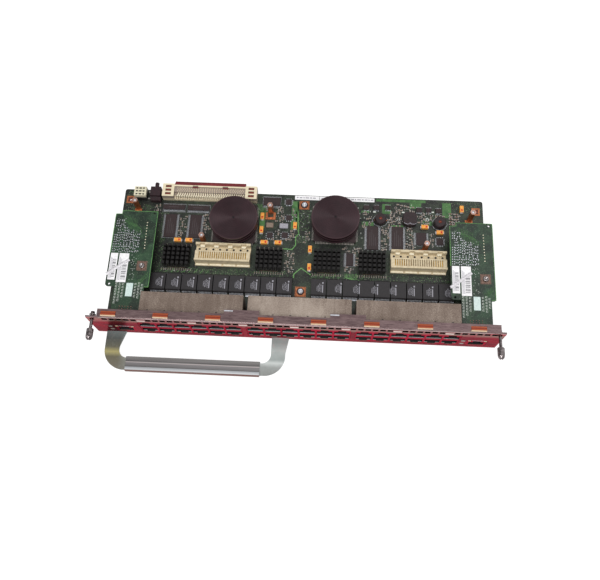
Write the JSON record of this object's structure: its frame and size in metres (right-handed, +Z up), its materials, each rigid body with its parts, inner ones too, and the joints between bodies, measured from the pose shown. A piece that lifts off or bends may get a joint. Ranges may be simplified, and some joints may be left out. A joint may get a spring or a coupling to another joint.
{
  "type": "network interface module",
  "caption": "Double-wide chassis module: red panel with stacked jack blocks on a circuit board, heat sinks, rear bus connector, pull handle and captive thumbscrews",
  "frame": {"origin": "middle of the overall box in plan, at the lower edge of the front panel", "axes": "X along the front panel, Y from the panel to the rear connector, Z up from the main board"},
  "size_m": [0.3306, 0.173, 0.0405],
  "materials": {
    "panel": "glossy crimson front, grey sheet behind",
    "steel": "bright zinc",
    "nickel": "bright nickel",
    "grip": "drawn, satin",
    "copper": "bright copper alloy",
    "shield": "tinned sheet",
    "black_plastic": "matt",
    "board": "solder mask",
    "uplink_board": "solder mask",
    "lamp": "clear moulding",
    "chip": "matt",
    "anodised_disc": "dark anodised, turned",
    "anodised_pin": "black anodised",
    "cream_plastic": "matt",
    "maroon_plastic": "matt",
    "white_plastic": "matt",
    "transformer": "matt",
    "ferrite": "matt",
    "capacitor": "satin"
  },
  "bodies": {
    "module": {"bus_connector": "cream_plastic", "bus_end_contacts": "copper", "drum_inductors": "ferrite", "flat_chips": "chip", "front_panel": "panel", "gasket_clips": "copper", "guide_block": "black_plastic", "handle_frame": "steel", "handle_grip": "grip", "header_base": "black_plastic", "header_cap": "white_plastic", "line_transformers_left": "transformer", "line_transformers_right": "transformer", "link_chip_1": "chip", "link_chip_2": "chip", "link_chip_3": "chip", "link_chip_4": "chip", "main_board": "board", "mating_strip": "maroon_plastic", "memory_chips": "chip", "mezzanine_connector_left": "cream_plastic", "mezzanine_connector_right": "cream_plastic", "panel_spacers": "steel", "pin_heat_sink_1": "anodised_pin", "pin_heat_sink_2": "anodised_pin", "pin_heat_sink_3": "anodised_pin", "pin_heat_sink_4": "anodised_pin", "port_housing_1": "black_plastic", "port_housing_2": "black_plastic", "port_housing_3": "black_plastic", "port_shield_1": "shield", "port_shield_2": "shield", "port_shield_3": "shield", "posts": "steel", "round_heat_sinks": "anodised_disc", "square_inductor": "ferrite", "stacking_connector_left": "black_plastic", "stacking_connector_right": "black_plastic", "status_lamps": "lamp", "switch_chip_left": "chip", "switch_chip_right": "chip", "tantalum_capacitors": "capacitor", "uplink_board_left": "uplink_board", "uplink_board_right": "uplink_board", "uplink_housing_left": "black_plastic", "uplink_housing_right": "black_plastic", "uplink_shield_left": "shield", "uplink_shield_right": "shield"},
    "ring_left": {"retaining_ring_left": "nickel"},
    "screw_left": {"thumbscrew_left": "nickel"},
    "ring_right": {"retaining_ring_right": "nickel"},
    "screw_right": {"thumbscrew_right": "nickel"}
  },
  "joints": [
    {"name": "screw_travel_left", "type": "slide", "parent": "module", "child": "ring_left", "axis": [0, 1, 0], "range_m": [-0.0016, 0.0077]},
    {"name": "screw_turn_left", "type": "hinge", "parent": "ring_left", "child": "screw_left", "pos_m": [-0.1611, -0.0511, 0.0348], "axis": [0, 1, 0], "continuous": true},
    {"name": "screw_travel_right", "type": "slide", "parent": "module", "child": "ring_right", "axis": [0, 1, 0], "range_m": [0, 0.0093]},
    {"name": "screw_turn_right", "type": "hinge", "parent": "ring_right", "child": "screw_right", "pos_m": [0.1611, -0.0511, 0.0348], "axis": [0, 1, 0], "continuous": true}
  ]
}
